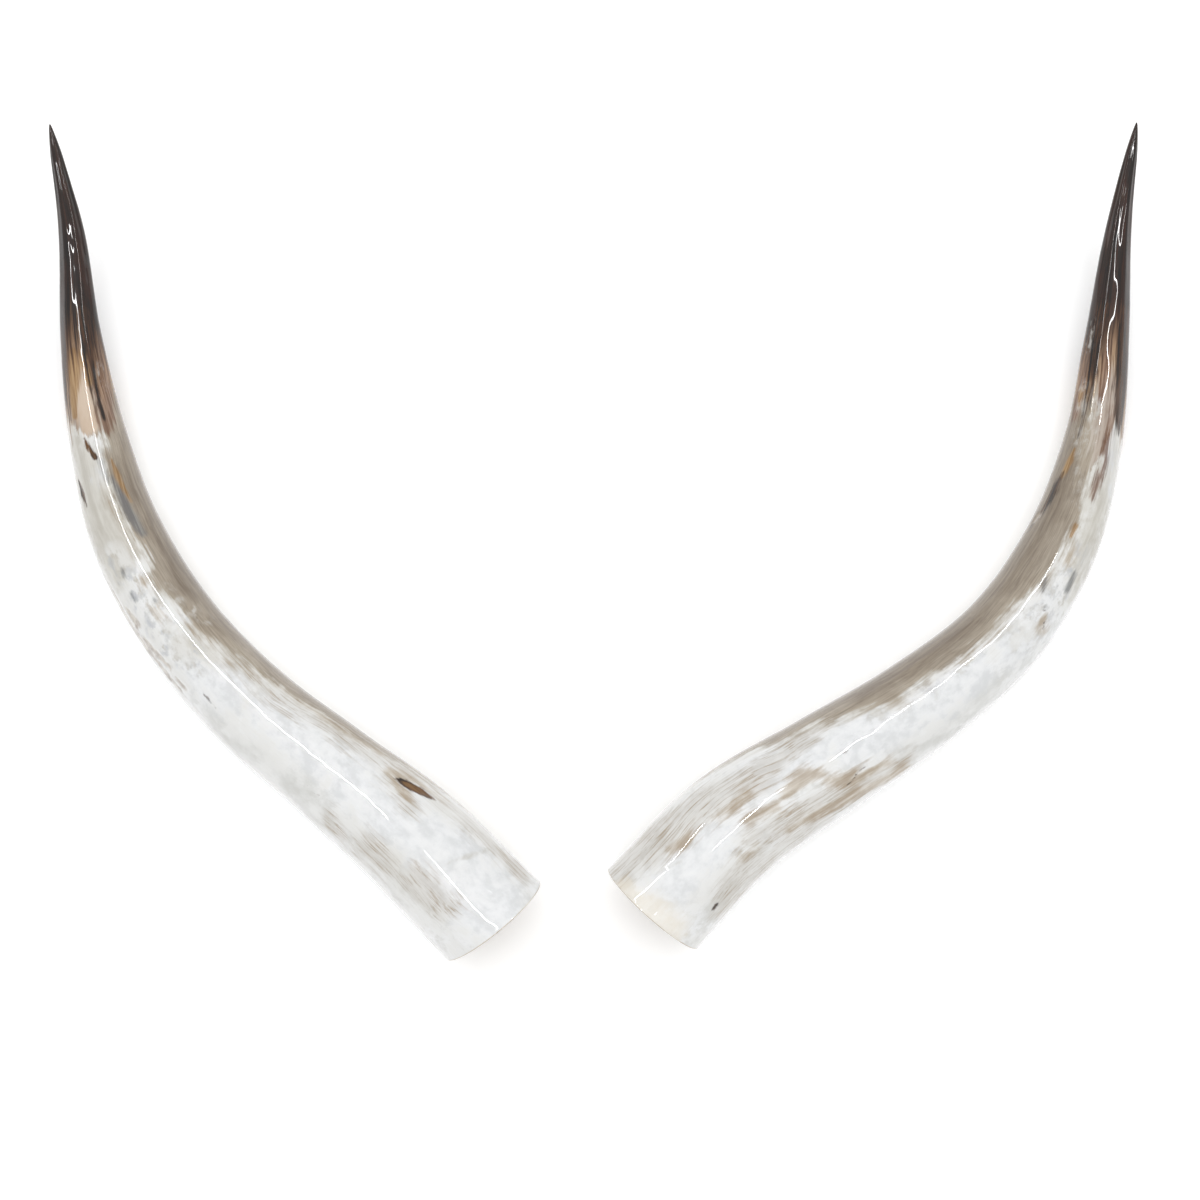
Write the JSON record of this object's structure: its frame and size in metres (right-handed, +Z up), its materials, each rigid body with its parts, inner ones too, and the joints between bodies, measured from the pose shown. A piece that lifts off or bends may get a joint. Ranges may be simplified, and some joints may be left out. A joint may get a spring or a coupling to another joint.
{
  "type": "pair of polished cow horns",
  "caption": "Matched left and right cow horns, hollow, polished and marbled, sweeping from open sawn bases to raised dark points; they lie flat as decor or are fixed by their rims.",
  "frame": {"origin": "on the surface that the horns lie on, at the middle of the pair's outline in plan", "axes": "+X across the pair from the left horn to the right horn, +Y from the bases towards the points, +Z up"},
  "size_m": [0.9462, 0.7191, 0.0961],
  "materials": {
    "polished_horn": "polished horn keratin with a clear gloss: cloudy white and grey body, taupe band along the inner bend, amber flame and brown-black point, fine lengthwise fibres, dark knots"
  },
  "bodies": {
    "root": {"left_horn": "polished_horn", "right_horn": "polished_horn"}
  },
  "joints": []
}
